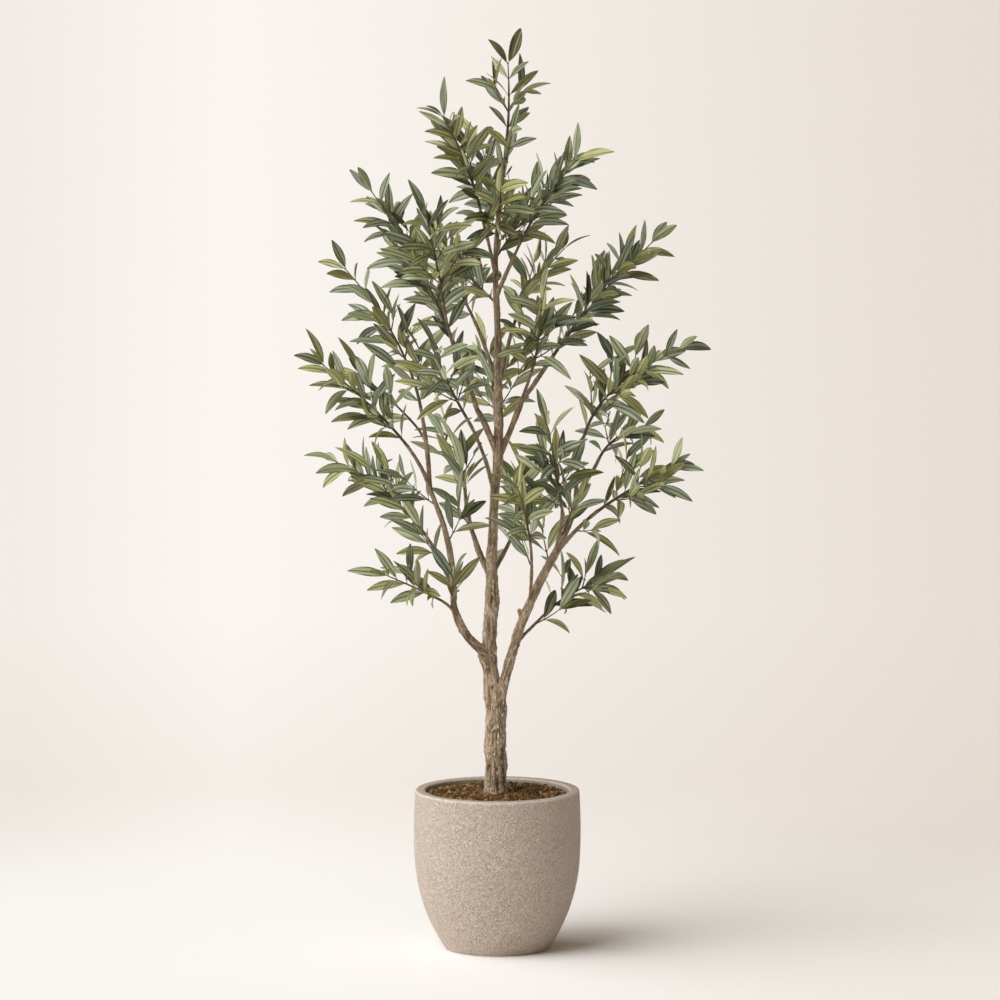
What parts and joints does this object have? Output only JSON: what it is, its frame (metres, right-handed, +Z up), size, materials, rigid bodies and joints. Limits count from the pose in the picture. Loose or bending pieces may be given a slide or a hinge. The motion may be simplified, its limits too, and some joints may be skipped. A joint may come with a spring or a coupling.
{
  "type": "potted olive tree",
  "caption": "Young olive tree in a round stone-mix tub: a slim trunk that forks low, rising boughs, and an open, pointed crown of leafy sprays.",
  "frame": {"origin": "the middle of the tub's flat underside, on the floor", "axes": "+Z up the trunk; -Y is the front, with the low fork's two boughs to the left (-X) and right (+X)"},
  "size_m": [0.8092, 0.7828, 1.814],
  "materials": {
    "stone_mix": "matte",
    "potting_mix": "matte",
    "bark": "matte",
    "leaf": "satin"
  },
  "bodies": {
    "root": {"back_bough": "bark", "back_leaves": "leaf", "back_left_bough": "bark", "back_left_leaves": "leaf", "back_low_bough": "bark", "back_low_leaves": "leaf", "back_right_bough": "bark", "back_right_leaves": "leaf", "crown_top_leaves": "leaf", "front_bough": "bark", "front_centre_leaves": "leaf", "front_centre_limb": "bark", "front_high_leaves": "leaf", "front_high_limb": "bark", "front_leaves": "leaf", "front_right_leaves": "leaf", "front_right_limb": "bark", "left_heart_leaves": "leaf", "left_high_leaves": "leaf", "left_high_limb": "bark", "left_inner_bough": "bark", "left_inner_leaves": "leaf", "left_low_bough": "bark", "left_low_limb": "bark", "left_lowest_leaves": "leaf", "left_lowest_limb": "bark", "left_mid_leaves": "leaf", "left_mid_limb": "bark", "left_outer_leaves": "leaf", "left_outer_limb": "bark", "left_reach_leaves": "leaf", "left_reach_limb": "bark", "left_second_leaves": "leaf", "left_second_limb": "bark", "left_top_bough": "bark", "left_top_leaves": "leaf", "left_upper_bough": "bark", "potting_mix": "potting_mix", "right_fork_limb": "bark", "right_heart_leaves": "leaf", "right_high_leaves": "leaf", "right_high_limb": "bark", "right_low_bough": "bark", "right_lowest_leaves": "leaf", "right_lowest_limb": "bark", "right_outer_leaves": "leaf", "right_outer_limb": "bark", "right_reach_leaves": "leaf", "right_reach_limb": "bark", "right_rising_leaves": "leaf", "right_rising_limb": "bark", "right_short_leaves": "leaf", "right_short_limb": "bark", "right_top_bough": "bark", "right_top_leaves": "leaf", "right_upper_bough": "bark", "trunk": "bark", "tub": "stone_mix", "upper_back_leaves": "leaf", "upper_front_leaves": "leaf"}
  },
  "joints": []
}
